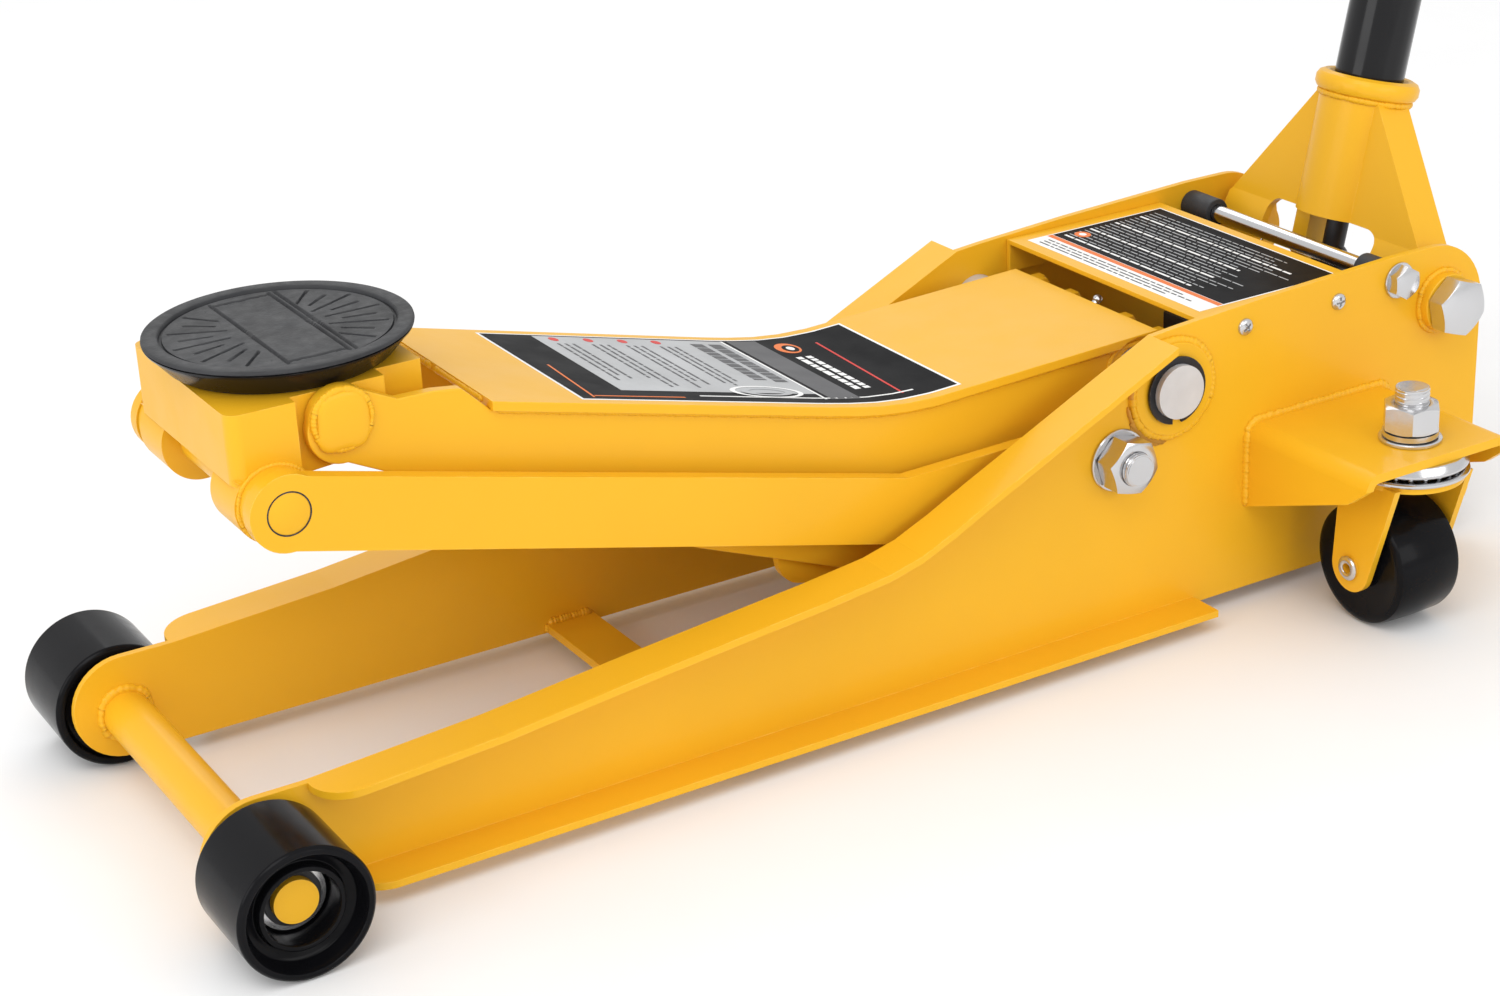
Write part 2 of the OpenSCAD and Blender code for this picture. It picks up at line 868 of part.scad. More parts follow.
translate([-shift_x, 0, 0]) {
  side_plate_left();
  side_plate_right();
  front_axle();
  cross_bar();
  axle_washers();
  snap_rings();
  cover_plate();
  cover_screws();
  cross_rod();
  rod_sleeves();
  rod_bolts();
  main_shaft();
  shaft_bosses();
  link_bolts();
  link_nuts();
  caster_bracket_left();
  caster_bracket_right();
  caster_studs();
  caster_nuts();
  caster_washers();
  caster_races();
  yoke_bosses();
  yoke_bolts();
  pump_block();
  reservoir();
  unit_bolts();
  roller_left();
  roller_right();
  arm_top();
  arm_side_left();
  arm_side_right();
  arm_doublers();
  arm_hub();
  arm_pins();
  arm_cranks();
  crank_pin();
  grease_nipple();
  link_left();
  link_right();
  link_pin();
  saddle_head();
  saddle_plate();
  saddle_pad();
  ram();
  ram_fork();
  pump_plunger();
  release_valve();
  yoke();
  yoke_roller();
  yoke_screw();
  handle_lower();
  handle_upper();
  handle_button();
  handle_drive();
  handle_bumper();
  handle_grip();
  caster_left();
  caster_right();
  caster_wheel_left();
  caster_wheel_right();
}
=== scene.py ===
"""Looks of a low-profile garage floor jack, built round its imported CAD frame."""

import json
import math
import random

import bmesh
import bpy
from mathutils import Matrix, Vector
from mathutils.bvhtree import BVHTree


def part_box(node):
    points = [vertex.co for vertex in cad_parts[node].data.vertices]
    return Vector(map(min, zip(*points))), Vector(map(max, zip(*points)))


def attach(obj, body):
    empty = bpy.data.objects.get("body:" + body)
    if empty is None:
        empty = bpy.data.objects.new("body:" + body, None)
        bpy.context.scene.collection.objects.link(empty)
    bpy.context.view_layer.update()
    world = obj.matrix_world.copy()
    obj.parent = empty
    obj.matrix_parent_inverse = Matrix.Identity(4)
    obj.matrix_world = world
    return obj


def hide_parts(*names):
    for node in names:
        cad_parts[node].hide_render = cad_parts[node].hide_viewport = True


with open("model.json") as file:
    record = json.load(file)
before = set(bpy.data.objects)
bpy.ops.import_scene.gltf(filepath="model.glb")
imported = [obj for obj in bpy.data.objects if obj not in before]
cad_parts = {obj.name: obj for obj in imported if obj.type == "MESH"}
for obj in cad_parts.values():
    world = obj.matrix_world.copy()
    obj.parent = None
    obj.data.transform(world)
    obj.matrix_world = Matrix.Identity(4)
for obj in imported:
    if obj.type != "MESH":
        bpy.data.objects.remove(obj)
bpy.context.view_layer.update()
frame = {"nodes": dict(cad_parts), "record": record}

MM = 0.001
X, Y, Z = Vector((1, 0, 0)), Vector((0, 1, 0)), Vector((0, 0, 1))
SIDES = (-1, 1)                                 # left, the side with the smaller Y, and right
JOINTS = {j["name"]: j for j in frame["record"]["behaviour"]["joints"]}


def joint_at(name):
    return Vector(JOINTS[name]["pos_m"])


PIVOT = joint_at("arm_lift")
TIP = joint_at("head_level")
LINK_REAR = joint_at("links_swing")
LINK_FRONT = TIP - (PIVOT - LINK_REAR)
YOKE = joint_at("handle_pump")
HANDLE_AXIS = Vector(JOINTS["handle_twist"]["axis"])
AXLE = joint_at("roller_left_spin")


# ---------- materials ----------

def surface(name, color, rough, metal=0.0, coat=0.0, coat_rough=0.06, shade=0.06, mottle=9.0,
            rough_spread=0.05, grain=900.0, bump=0.05, edge=None, edge_amount=0.5, specular=0.5,
            dust=0.0):
    """A finish with cloudy colour, uneven gloss, fine relief and, where edge is set, edges tinted
    that colour: partly worn paint, partly painted highlight and reflection.
    """
    mat = bpy.data.materials.new(name)
    mat.use_nodes = True
    mat.diffuse_color = (*color, 1)
    tree = mat.node_tree
    nodes, links = tree.nodes, tree.links
    shader = nodes["Principled BSDF"]
    shader.inputs["Metallic"].default_value = metal
    shader.inputs["Coat Weight"].default_value = coat
    shader.inputs["Coat Roughness"].default_value = coat_rough
    shader.inputs["Specular IOR Level"].default_value = specular
    where = nodes.new("ShaderNodeTexCoord").outputs["Object"]

    def noise(scale, detail=3.0):
        node = nodes.new("ShaderNodeTexNoise")
        node.inputs["Scale"].default_value = scale
        node.inputs["Detail"].default_value = detail
        links.new(where, node.inputs["Vector"])
        return node.outputs["Fac"]

    def remap(value, low, high, start=0.3, end=0.7):
        node = nodes.new("ShaderNodeMapRange")
        node.inputs["From Min"].default_value = start
        node.inputs["From Max"].default_value = end
        node.inputs["To Min"].default_value = low
        node.inputs["To Max"].default_value = high
        links.new(value, node.inputs["Value"])
        return node.outputs["Result"]

    def mix(factor, a, b):
        node = nodes.new("ShaderNodeMix")
        node.data_type = "RGBA"
        links.new(factor, node.inputs["Factor"])
        for value, place in ((a, node.inputs["A"]), (b, node.inputs["B"])):
            if isinstance(value, tuple):
                place.default_value = (*value, 1)
            else:
                links.new(value, place)
        return node.outputs["Result"]

    dark = tuple(c * (1 - shade) for c in color)
    light = tuple(min(1.0, c * (1 + shade)) for c in color)
    tone = mix(remap(noise(mottle, 4.0), 0.0, 1.0), dark, light)
    roughness = remap(noise(mottle * 6, 5.0), rough - rough_spread, rough + rough_spread)
    if dust:
        facing = nodes.new("ShaderNodeSeparateXYZ")
        links.new(nodes.new("ShaderNodeNewGeometry").outputs["Normal"], facing.inputs[0])
        upward = remap(facing.outputs["Z"], 0.0, dust, 0.2, 1.0)
        patches = nodes.new("ShaderNodeMath")
        patches.operation = "MULTIPLY"
        links.new(upward, patches.inputs[0])
        links.new(remap(noise(mottle * 3, 6.0), 0.2, 1.0), patches.inputs[1])
        tone = mix(patches.outputs[0], tone, (0.42, 0.41, 0.39))
    # edge colour on rims and corners: partly wear, partly painted highlight and reflection on the
    # edges
    if edge:
        soft = nodes.new("ShaderNodeBevel")
        soft.samples = 4
        soft.inputs["Radius"].default_value = 1.1 * MM
        flat = nodes.new("ShaderNodeNewGeometry")
        across = nodes.new("ShaderNodeVectorMath")
        across.operation = "DOT_PRODUCT"
        links.new(soft.outputs["Normal"], across.inputs[0])
        links.new(flat.outputs["Normal"], across.inputs[1])
        rim = remap(across.outputs["Value"], edge_amount, 0.0, 0.78, 0.97)
        edge_wear_and_highlight = nodes.new("ShaderNodeMath")
        edge_wear_and_highlight.operation = "MULTIPLY"
        links.new(rim, edge_wear_and_highlight.inputs[0])
        links.new(remap(noise(mottle * 14, 6.0), 0.0, 1.0, 0.46, 0.62), edge_wear_and_highlight.inputs[1])
        tone = mix(edge_wear_and_highlight.outputs[0], tone, edge)
    links.new(tone, shader.inputs["Base Color"])
    links.new(roughness, shader.inputs["Roughness"])
    relief = nodes.new("ShaderNodeBump")
    relief.inputs["Strength"].default_value = bump
    relief.inputs["Distance"].default_value = 0.3 * MM
    links.new(noise(grain, 2.0), relief.inputs["Height"])
    links.new(relief.outputs["Normal"], shader.inputs["Normal"])
    return mat


def brushed(mat, across, scale=260.0, strength=0.12):
    """Adds fine machining lines that run round or along a part."""
    nodes, links = mat.node_tree.nodes, mat.node_tree.links
    stretch = nodes.new("ShaderNodeMapping")
    stretch.inputs["Scale"].default_value = across
    links.new(nodes.new("ShaderNodeTexCoord").outputs["Object"], stretch.inputs["Vector"])
    lines = nodes.new("ShaderNodeTexNoise")
    lines.inputs["Scale"].default_value = scale
    lines.inputs["Detail"].default_value = 2.0
    links.new(stretch.outputs["Vector"], lines.inputs["Vector"])
    relief = nodes.new("ShaderNodeBump")
    relief.inputs["Strength"].default_value = strength
    relief.inputs["Distance"].default_value = 0.2 * MM
    links.new(lines.outputs["Fac"], relief.inputs["Height"])
    shader = nodes["Principled BSDF"]
    links.new(shader.inputs["Normal"].links[0].from_socket, relief.inputs["Normal"])
    links.new(relief.outputs["Normal"], shader.inputs["Normal"])
    return mat


# each edge= colour is partly wear, partly painted highlight and reflection on the edges
FINISH = {
    "yellow_paint": surface("yellow_paint", (0.80, 0.425, 0.016), 0.36, coat=0.08, coat_rough=0.09,
                            shade=0.035, mottle=7, grain=420, bump=0.10, specular=0.20,
                            edge=(0.95, 0.62, 0.13), edge_amount=0.5),
    "black_paint": surface("black_paint", (0.006, 0.006, 0.007), 0.18, coat=0.16, shade=0.2,
                           grain=500, bump=0.04, specular=0.22, edge=(0.10, 0.10, 0.105),
                           edge_amount=0.5),
    "black_oxide": surface("black_oxide", (0.022, 0.022, 0.025), 0.38, metal=0.5, shade=0.3,
                           mottle=30, grain=1500, bump=0.15, edge=(0.22, 0.22, 0.23)),
    "zinc": brushed(surface("zinc", (0.60, 0.60, 0.61), 0.20, metal=0.92, shade=0.05, mottle=22,
                            grain=1100, bump=0.05, edge=(0.82, 0.82, 0.82), edge_amount=0.3),
                    (1, 6, 1), strength=0.07),
    "chrome": brushed(surface("chrome", (0.60, 0.60, 0.61), 0.20, metal=1.0, shade=0.03, mottle=20,
                              rough_spread=0.03, grain=1800, bump=0.04),
                      (8, 0.5, 8), strength=0.05),
    "cast_iron": surface("cast_iron", (0.060, 0.061, 0.065), 0.62, metal=0.35, shade=0.25, mottle=25,
                         grain=650, bump=0.55, edge=(0.20, 0.20, 0.21), dust=0.10),
    "roller_black": surface("roller_black", (0.005, 0.005, 0.006), 0.20, coat=0.04, coat_rough=0.08,
                            shade=0.25, mottle=22, grain=700, bump=0.06, specular=0.08,
                            edge=(0.045, 0.045, 0.047), edge_amount=0.4),
    "rubber": surface("rubber", (0.030, 0.031, 0.034), 0.55, shade=0.30, mottle=34,
                      rough_spread=0.10, grain=900, bump=0.50, specular=0.22, dust=0.06,
                      edge=(0.10, 0.10, 0.105), edge_amount=0.4),
}
STAINED = surface("stained_weld", (0.50, 0.235, 0.030), 0.50, shade=0.35, mottle=60, grain=900,
                  bump=0.3, specular=0.2, edge=(0.30, 0.13, 0.035), edge_amount=0.5)
CUP_BLACK = surface("cup_black", (0.006, 0.006, 0.007), 0.26, shade=0.2, bump=0.06, specular=0.12,
                    edge=(0.09, 0.09, 0.095), edge_amount=0.4)
SHAFT_STEEL = surface("shaft_steel", (0.60, 0.60, 0.61), 0.46, metal=0.35, shade=0.06, mottle=60,
                      grain=1300, bump=0.10, edge=(0.80, 0.80, 0.80), edge_amount=0.3)


def ink(name, color, rough=0.40, shade=0.06, specular=0.2):
    """Dull printed film of a label."""
    return surface(name, color, rough, shade=shade, grain=900, bump=0.03, specular=specular)


LABEL_BLACK = ink("label_black", (0.005, 0.005, 0.006), shade=0.2, specular=0.03)
LABEL_WHITE = ink("label_white", (0.86, 0.86, 0.85), shade=0.03, specular=0.25)
LABEL_SILVER = surface("label_silver", (0.40, 0.41, 0.42), 0.36, metal=0.25, coat=0.3, shade=0.16,
                       mottle=18, grain=1500, bump=0.05)
LABEL_GREY = ink("label_grey", (0.085, 0.085, 0.09), rough=0.42, shade=0.12)
LABEL_RED = ink("label_red", (0.62, 0.022, 0.014))
LABEL_ORANGE = ink("label_orange", (0.78, 0.17, 0.018))


# ---------- carried-over CAD nodes ----------

SLOT_OF = {s["node"]: s["material_slot"] for s in frame["record"]["subparts"]}
THIN_NODES = ("snap_rings", "axle_washers", "grease_nipple", "cover_screws", "handle_button")
THIN_EDGE, SHEET_EDGE = 0.25 * MM, 0.7 * MM


def round_edges(obj, width, angle=32):
    """Softens a node's edges and shades it evenly, its mesh unchanged."""
    weld = obj.modifiers.new("join_facets", "WELD")
    weld.merge_threshold = 0.002 * MM
    bevel = obj.modifiers.new("soft_edges", "BEVEL")
    bevel.width = width
    bevel.segments = 2
    bevel.limit_method = "ANGLE"
    bevel.angle_limit = math.radians(angle)
    bevel.use_clamp_overlap = True
    bevel.harden_normals = False
    even = obj.modifiers.new("even_normals", "WEIGHTED_NORMAL")
    even.keep_sharp = True
    even.weight = 60


for name, node in frame["nodes"].items():
    node.data.materials.clear()
    node.data.materials.append(SHAFT_STEEL if name == "main_shaft" else FINISH[SLOT_OF[name]])
    round_edges(node, THIN_EDGE if name in THIN_NODES else SHEET_EDGE)


# ---------- mesh building ----------

def angles(steps):
    return [2 * math.pi * i / steps for i in range(steps)]


def turned_rows(profile, steps):
    """Rings of points about Z, one for each (radius, height)."""
    return [[(r * math.cos(a), r * math.sin(a), z) for a in angles(steps)] for r, z in profile]


class Shape:
    """Collects closed surfaces that make one object."""

    def __init__(self):
        self.points = []
        self.faces = []

    def add(self, points, faces, place=None):
        first = len(self.points)
        place = place or Matrix()
        self.points += [place @ Vector(p) for p in points]
        self.faces += [tuple(first + i for i in f) for f in faces]

    def grid(self, rows, place=None, closed_rows=True, closed_columns=False, caps=True):
        """Joins rings of points; the ends get a flat cap."""
        n, points = len(rows[0]), [p for row in rows for p in row]
        faces = []
        last = len(rows) if closed_columns else len(rows) - 1
        for i in range(last):
            k = (i + 1) % len(rows)
            for j in range(n if closed_rows else n - 1):
                m = (j + 1) % n
                faces.append((i * n + j, i * n + m, k * n + m, k * n + j))
        if caps and not closed_columns:
            faces.append(tuple(range(n))[::-1])
            faces.append(tuple(range((len(rows) - 1) * n, len(rows) * n)))
        self.add(points, faces, place)

    def lathe(self, profile, place=None, steps=64, closed=False):
        """Turns (radius, height) points about Z. closed joins the last point to the first."""
        self.grid(turned_rows(profile, steps), place, closed_columns=closed)

    def make(self, name, body, finish, replaces=(), slot=None, sharp=35):
        """Makes the object and puts it on its body. finish is a material or a slot's name."""
        mesh = bpy.data.meshes.new(name)
        mesh.from_pydata(self.points, [], self.faces)
        mesh.validate()
        tidy = bmesh.new()
        tidy.from_mesh(mesh)
        bmesh.ops.recalc_face_normals(tidy, faces=tidy.faces)
        tidy.to_mesh(mesh)
        tidy.free()
        mesh.polygons.foreach_set("use_smooth", [True] * len(mesh.polygons))
        mesh.set_sharp_from_angle(angle=math.radians(sharp))
        obj = bpy.data.objects.new(name, mesh)
        bpy.context.scene.collection.objects.link(obj)
        if isinstance(finish, str):
            slot = slot or finish
            finish = FINISH[finish]
        mesh.materials.append(finish)
        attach(obj, body)
        if replaces:
            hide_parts(*replaces)
        return obj


def along(origin, axis, up=None):
    """Matrix that stands a Z-wise shape at origin, along axis."""
    axis = Vector(axis).normalized()
    up = Vector(up) if up else (X if abs(axis.x) < 0.9 else Y)
    x = (up - axis * up.dot(axis)).normalized()
    y = axis.cross(x)
    turn = Matrix((x, y, axis)).transposed().to_4x4()
    return Matrix.Translation(origin) @ turn


def outward(point, side, y):
    """Place beside point at the given y from the middle, its axis along the outward Y."""
    return along(Vector((point.x, side * y, point.z)), Y * side, up=X)


def twist(degrees):
    """A turn about a shape's own axis."""
    return Matrix.Rotation(math.radians(degrees), 4, "Z")


def surface_of(node):
    """Function that gives the height of a CAD node's upper face above any (x, y)."""
    mesh = frame["nodes"][node].data
    tree = BVHTree.FromPolygons([v.co.copy() for v in mesh.vertices],
                                [tuple(p.vertices) for p in mesh.polygons])

    def height(x, y):
        hit = tree.ray_cast(Vector((x, y, 2.0)), Vector((0, 0, -1)))
        return hit[0].z if hit[0] else None
    return height


# ---------- fasteners ----------

def hexagon(shape, place, flats, height, bore=0.0, both=True, steps=72):
    """Nut or bolt head with the turned chamfer that leaves curved edges on its flats."""
    apothem = flats / 2
    flat_ring = apothem * 0.97
    slope = math.tan(math.radians(28))

    def corner(i):
        return apothem / math.cos((math.pi / 3) * (((i / steps * 6 + 0.5) % 1) - 0.5))

    def ring(radius, height_at):
        return [(radius(i) * math.cos(2 * math.pi * i / steps),
                 radius(i) * math.sin(2 * math.pi * i / steps), height_at(i)) for i in range(steps)]

    cut = [(corner(i) - flat_ring) * slope for i in range(steps)]
    low = (lambda i: cut[i]) if both else (lambda i: 0.0)
    rows = [ring(lambda i: flat_ring if both else corner(i), lambda i: 0.0)] if both else []
    rows += [ring(corner, low), ring(corner, lambda i: height - cut[i]),
             ring(lambda i: flat_ring, lambda i: height)]
    if bore:
        lip = 0.6 * MM
        rows += [ring(lambda i: bore + lip, lambda i: height),
                 ring(lambda i: bore, lambda i: height - lip),
                 ring(lambda i: bore, lambda i: lip), ring(lambda i: bore + lip, lambda i: 0.0)]
        shape.grid(rows, place, closed_columns=True)
    else:
        shape.grid(rows, place)


def washer(shape, place, inner, outer, thick):
    """Flat washer with eased outer edges."""
    ease = thick * 0.25
    shape.lathe([(inner, 0), (outer - ease, 0), (outer, ease), (outer, thick - ease),
                 (outer - ease, thick), (inner, thick)], place, closed=True)


def split_washer(shape, place, inner, outer, thick):
    """Spring washer: one square turn with a slanting gap."""
    rows, steps, gap, rise = [], 60, 0.12, 0.9 * MM
    for i in range(steps + 1):
        turn = gap + (2 * math.pi - 2 * gap) * i / steps
        lift = rise * (i / steps)
        rows.append([(r * math.cos(turn), r * math.sin(turn), z + lift)
                     for r, z in ((inner, 0), (outer, 0), (outer, thick), (inner, thick))])
    shape.grid(rows, place)


def thread(shape, place, length, root, crest, pitch, tip=1.2 * MM, steps=36, rest=6):
    """Rolled thread: a helix whose radius runs up and down along the bolt, with a chamfered end."""
    rows, levels = [], int(length / pitch * rest)
    for k in range(levels + 1):
        z = length * k / levels
        row = []
        for i in range(steps):
            phase = (z / pitch - i / steps) % 1.0
            ridge = 1 - abs(2 * phase - 1)
            radius = root + (crest - root) * min(1.0, ridge * 1.35)
            radius = min(radius, crest - max(0.0, tip - (length - z)))
            angle = 2 * math.pi * i / steps
            row.append((radius * math.cos(angle), radius * math.sin(angle), z))
        rows.append(row)
    shape.grid(rows, place)


PLATE_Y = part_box("shaft_bosses")[1].y - 3 * MM          # outer face of the side plates
ROD = (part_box("cross_rod")[0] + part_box("cross_rod")[1]) / 2
HEX_M10, HEAD_M10, THIN_WASHER = 16.5 * MM, 6.6 * MM, 1.6 * MM
HEX_M18, NUT_BORE = 28 * MM, 9.1 * MM
CORE = 0.1 * MM                                         # where a turned face ends at its middle


def plate_bolt(shape, spot, side, washer_radius):
    """M10 bolt head with its washer on the outer face of a side plate."""
    washer(shape, outward(spot, side, PLATE_Y), 4 * MM, washer_radius, THIN_WASHER)
    hexagon(shape, outward(spot, side, PLATE_Y + THIN_WASHER), HEX_M10, HEAD_M10, both=False)


# bolts of the cross rod
bolts = Shape()
for side in SIDES:
    plate_bolt(bolts, ROD, side, 10.3 * MM)
bolts.make("rod_bolt_heads", "chassis", "zinc", replaces=["rod_bolts"])

# yoke pivot bolts
SHANK_START, FLANGE = 68 * MM, 0.8 * MM
bolts = Shape()
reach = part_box("yoke_bolts")[1].y - 12 * MM
shank = reach - SHANK_START + 1 * MM
for side in SIDES:
    bolts.lathe([(CORE, 0), (9 * MM, 0), (10 * MM, 1 * MM), (10 * MM, shank), (CORE, shank)],
                outward(YOKE, side, SHANK_START))
    turned = outward(YOKE, side, reach) @ twist(12)
    bolts.lathe([(CORE, 0), (14.3 * MM, 0), (14.3 * MM, FLANGE), (CORE, FLANGE)], turned)
    hexagon(bolts, turned @ Matrix.Translation((0, 0, FLANGE)), 30 * MM, 11.2 * MM, both=False)
bolts.make("yoke_bolt_heads", "chassis", "zinc", replaces=["yoke_bolts"])

# nuts, washers and thread ends of the link bolts
LINK_WASHER = 2.2 * MM
nuts, ends = Shape(), Shape()
for side in SIDES:
    washer(nuts, outward(LINK_REAR, side, PLATE_Y), NUT_BORE, 17.5 * MM, LINK_WASHER)
    hexagon(nuts, outward(LINK_REAR, side, PLATE_Y + LINK_WASHER) @ twist(17), HEX_M18, 14 * MM,
            bore=NUT_BORE)
    thread(ends, outward(LINK_REAR, side, PLATE_Y + 8 * MM), 12.3 * MM, 7.9 * MM, 9.25 * MM,
           2.2 * MM)
nuts.make("link_nut_pair", "chassis", "zinc", replaces=["link_nuts"])
ends.make("link_bolt_threads", "chassis", "zinc")

# caster studs with nut, spring washer and flat washer
STUDS = [joint_at("caster_left_swivel"), joint_at("caster_right_swivel")]
BRACKET_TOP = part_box("caster_washers")[0].z
STUD_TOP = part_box("caster_studs")[1].z
THREAD_START = 12 * MM                                  # above the bracket
nuts, rings, ends = Shape(), Shape(), Shape()
for stud in STUDS:
    base = Vector((stud.x, stud.y, BRACKET_TOP))
    washer(rings, along(base, Z), NUT_BORE, 17 * MM, 2.4 * MM)
    split_washer(rings, along(base + Z * 2.5 * MM, Z), 9.2 * MM, 15 * MM, 2.8 * MM)
    hexagon(nuts, along(base + Z * 6.2 * MM, Z) @ twist(20), HEX_M18, 14.8 * MM, bore=NUT_BORE)
    thread(ends, along(Vector((stud.x, stud.y, BRACKET_TOP + THREAD_START)), Z),
           STUD_TOP - BRACKET_TOP - THREAD_START + 0.2 * MM, 7.7 * MM, 9.3 * MM, 2.7 * MM)
nuts.make("caster_nut_pair", "chassis", "zinc", replaces=["caster_nuts"])
rings.make("caster_spring_washers", "chassis", "zinc", replaces=["caster_washers"])
ends.make("caster_stud_threads", "chassis", "zinc")

# balls between the two races of each caster
BALL_R, BALL_TRACK, BALL_Z = 1.6 * MM, 27 * MM, 95.1 * MM
half_circle = [math.pi * k / 8 for k in range(9)]
ball = [(BALL_R * math.sin(t) + 0.01 * MM, -BALL_R * math.cos(t)) for t in half_circle]
balls = Shape()
for stud in STUDS:
    for a in angles(22):
        spot = Vector((stud.x + BALL_TRACK * math.cos(a), stud.y + BALL_TRACK * math.sin(a),
                       BALL_Z))
        balls.lathe(ball, Matrix.Translation(spot), steps=12)
balls.make("caster_balls", "chassis", "chrome")

# lower race and hollow rivet ends of each caster fork, as (radius, height) in millimetres
RACE = ((24, 91.9), (32, 91.9), (32.5, 92.6), (32.4, 93.6), (31.4, 94.4), (29.6, 94.6),
        (28.6, 93.9), (25.6, 93.9), (24.6, 94.6), (24, 94.4))
RIVET = ((3.05, -1.5), (3.05, 0.5), (3.8, 1.0), (5.2, 1.0), (6.2, 0.6), (6.9, 0), (6.9, -0.8))
RIVET_REACH = 30 * MM
for word, stud in zip(("left", "right"), STUDS):
    body = f"caster_{word[0]}"
    race = Shape()
    race.lathe([(r * MM, z * MM) for r, z in RACE], Matrix.Translation((stud.x, stud.y, 0)),
               closed=True)
    race.make(f"caster_lower_race_{word}", body, "chrome")
    rivets = Shape()
    hub = joint_at(f"caster_{word}_roll")
    for end in SIDES:
        rivets.lathe([(r * MM, z * MM) for r, z in RIVET],
                     along(Vector((stud.x + end * RIVET_REACH, hub.y, hub.z)), X * end),
                     steps=40, closed=True)
    rivets.make(f"caster_rivet_ends_{word}", body, "zinc")

# pan-head screws with a cross recess
SCREW_R = 4.8 * MM


def pan_head():
    """Rows of a low dome with a cross sunk in its middle."""
    rows = []
    for f in (1.0, 0.97, 0.88, 0.72, 0.60, 0.52, 0.44, 0.36, 0.28, 0.20, 0.12, 0.04):
        row = []
        for a in angles(48):
            arm = min(abs(math.cos(a)), abs(math.sin(a))) * f
            recess = 1.3 * MM if f < 0.6 and arm < 0.13 else 0.0
            height = 2.3 * MM * math.sqrt(max(0.0, 1 - f ** 2)) ** 0.6 + 0.2 * MM
            row.append((SCREW_R * f * math.cos(a), SCREW_R * f * math.sin(a),
                        height - recess if f < 1 else 0))
        rows.append(row)
    return rows


screws = Shape()
low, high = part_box("cover_screws")
for side in SIDES:
    for x in (low.x + SCREW_R, high.x - SCREW_R):
        spot = Vector((x, 0, (low.z + high.z) / 2))
        turn = random.Random(round(x * 1000)).uniform(0, 90)
        screws.grid(pan_head(), outward(spot, side, PLATE_Y) @ twist(turn))
screws.make("cover_screw_heads", "chassis", "zinc", replaces=["cover_screws"], sharp=50)

# bolts and plugs of the hydraulic unit
low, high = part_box("unit_bolts")
bolts = Shape()
for side in SIDES:
    for x in (low.x + 10.5 * MM, high.x - 10.5 * MM):
        plate_bolt(bolts, Vector((x, 0, (low.z + high.z) / 2)), side, 10.4 * MM)
bolts.make("unit_bolt_heads", "chassis", "zinc", replaces=["unit_bolts"])

PLUG_WASHER = 1.2 * MM
plugs = Shape()
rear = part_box("pump_block")[1].x
for y, z, flats in ((-28, 70, 17), (28, 70, 14), (0, 30, 19), (-28, 34, 12)):
    place = along(Vector((rear, y * MM, z * MM)), X, up=Y)
    washer(plugs, place, 5 * MM, flats * 0.62 * MM, PLUG_WASHER)
    hexagon(plugs, place @ Matrix.Translation((0, 0, PLUG_WASHER)), flats * MM, 5 * MM, both=False)
plugs.make("pump_plugs", "chassis", "zinc")

filler = Shape()
low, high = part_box("reservoir")
filler.lathe([(CORE, -3 * MM), (7 * MM, -3 * MM), (7 * MM, 1 * MM), (9 * MM, 1.2 * MM),
              (9 * MM, 3.4 * MM), (7.5 * MM, 4.4 * MM), (CORE, 4.6 * MM)],
             along(Vector(((low.x + high.x) / 2, 0, high.z)), Z))
filler.make("filler_plug", "chassis", "rubber")


# ---------- welds ----------

def bead(shape, path, radius, closed=False, seed=1, ripple=1.9 * MM, flat=0.75):
    """Weld bead: a lumpy tube that rises and falls with each puddle."""
    draw = random.Random(seed)
    length = sum((b - a).length for a, b in zip(path, path[1:] + path[:1] if closed else path[1:]))
    count = max(6, int(length / (ripple / 4)))
    points = path + [path[0]] if closed else path
    spots = []
    walk, travelled = 0, 0.0
    step = points[1] - points[0]
    for k in range(count if closed else count + 1):
        target = length * k / count
        while walk < len(points) - 2 and travelled + step.length < target:
            travelled += step.length
            walk += 1
            step = points[walk + 1] - points[walk]
        spots.append(points[walk] + step * min(1.0, (target - travelled) / max(step.length, 1e-9)))
    rows = []
    swell = [draw.uniform(0.86, 1.16) for _ in range(count // 4 + 3)]
    for k, spot in enumerate(spots):
        after = spots[(k + 1) % len(spots)] if closed or k + 1 < len(spots) else spot
        before = spots[k - 1] if closed or k else spot
        heading = (after - before).normalized()
        place = along(spot, heading, up=Z if abs(heading.z) < 0.9 else Y)
        wave = 0.5 + 0.5 * math.cos(2 * math.pi * (k % 4) / 4)
        size = radius * swell[k // 4] * (0.86 + 0.16 * wave)
        if not closed:
            size *= min(1.0, 0.35 + 0.65 * min(k, len(spots) - 1 - k) / 3)
        rows.append([place @ Vector((size * math.cos(t), size * flat * math.sin(t), 0))
                     for t in angles(10)])
    shape.grid(rows, closed_columns=closed)


def circle(centre, axis, radius, steps=48, start=0.0, end=2 * math.pi):
    """Points round an axis, a full turn or an arc."""
    place = along(centre, axis)
    full = abs(end - start - 2 * math.pi) < 1e-6
    last = steps if full else steps + 1
    return [place @ Vector((radius * math.cos(t), radius * math.sin(t), 0))
            for t in (start + (end - start) * i / steps for i in range(last))]


def pin_weld(shape, centre, y, radius, size, seed, ripple=1.9 * MM):
    """Weld all round a pin that runs across the jack, at the given y."""
    bead(shape, circle(Vector((centre.x, y, centre.z)), Y, radius), size, True, seed, ripple)


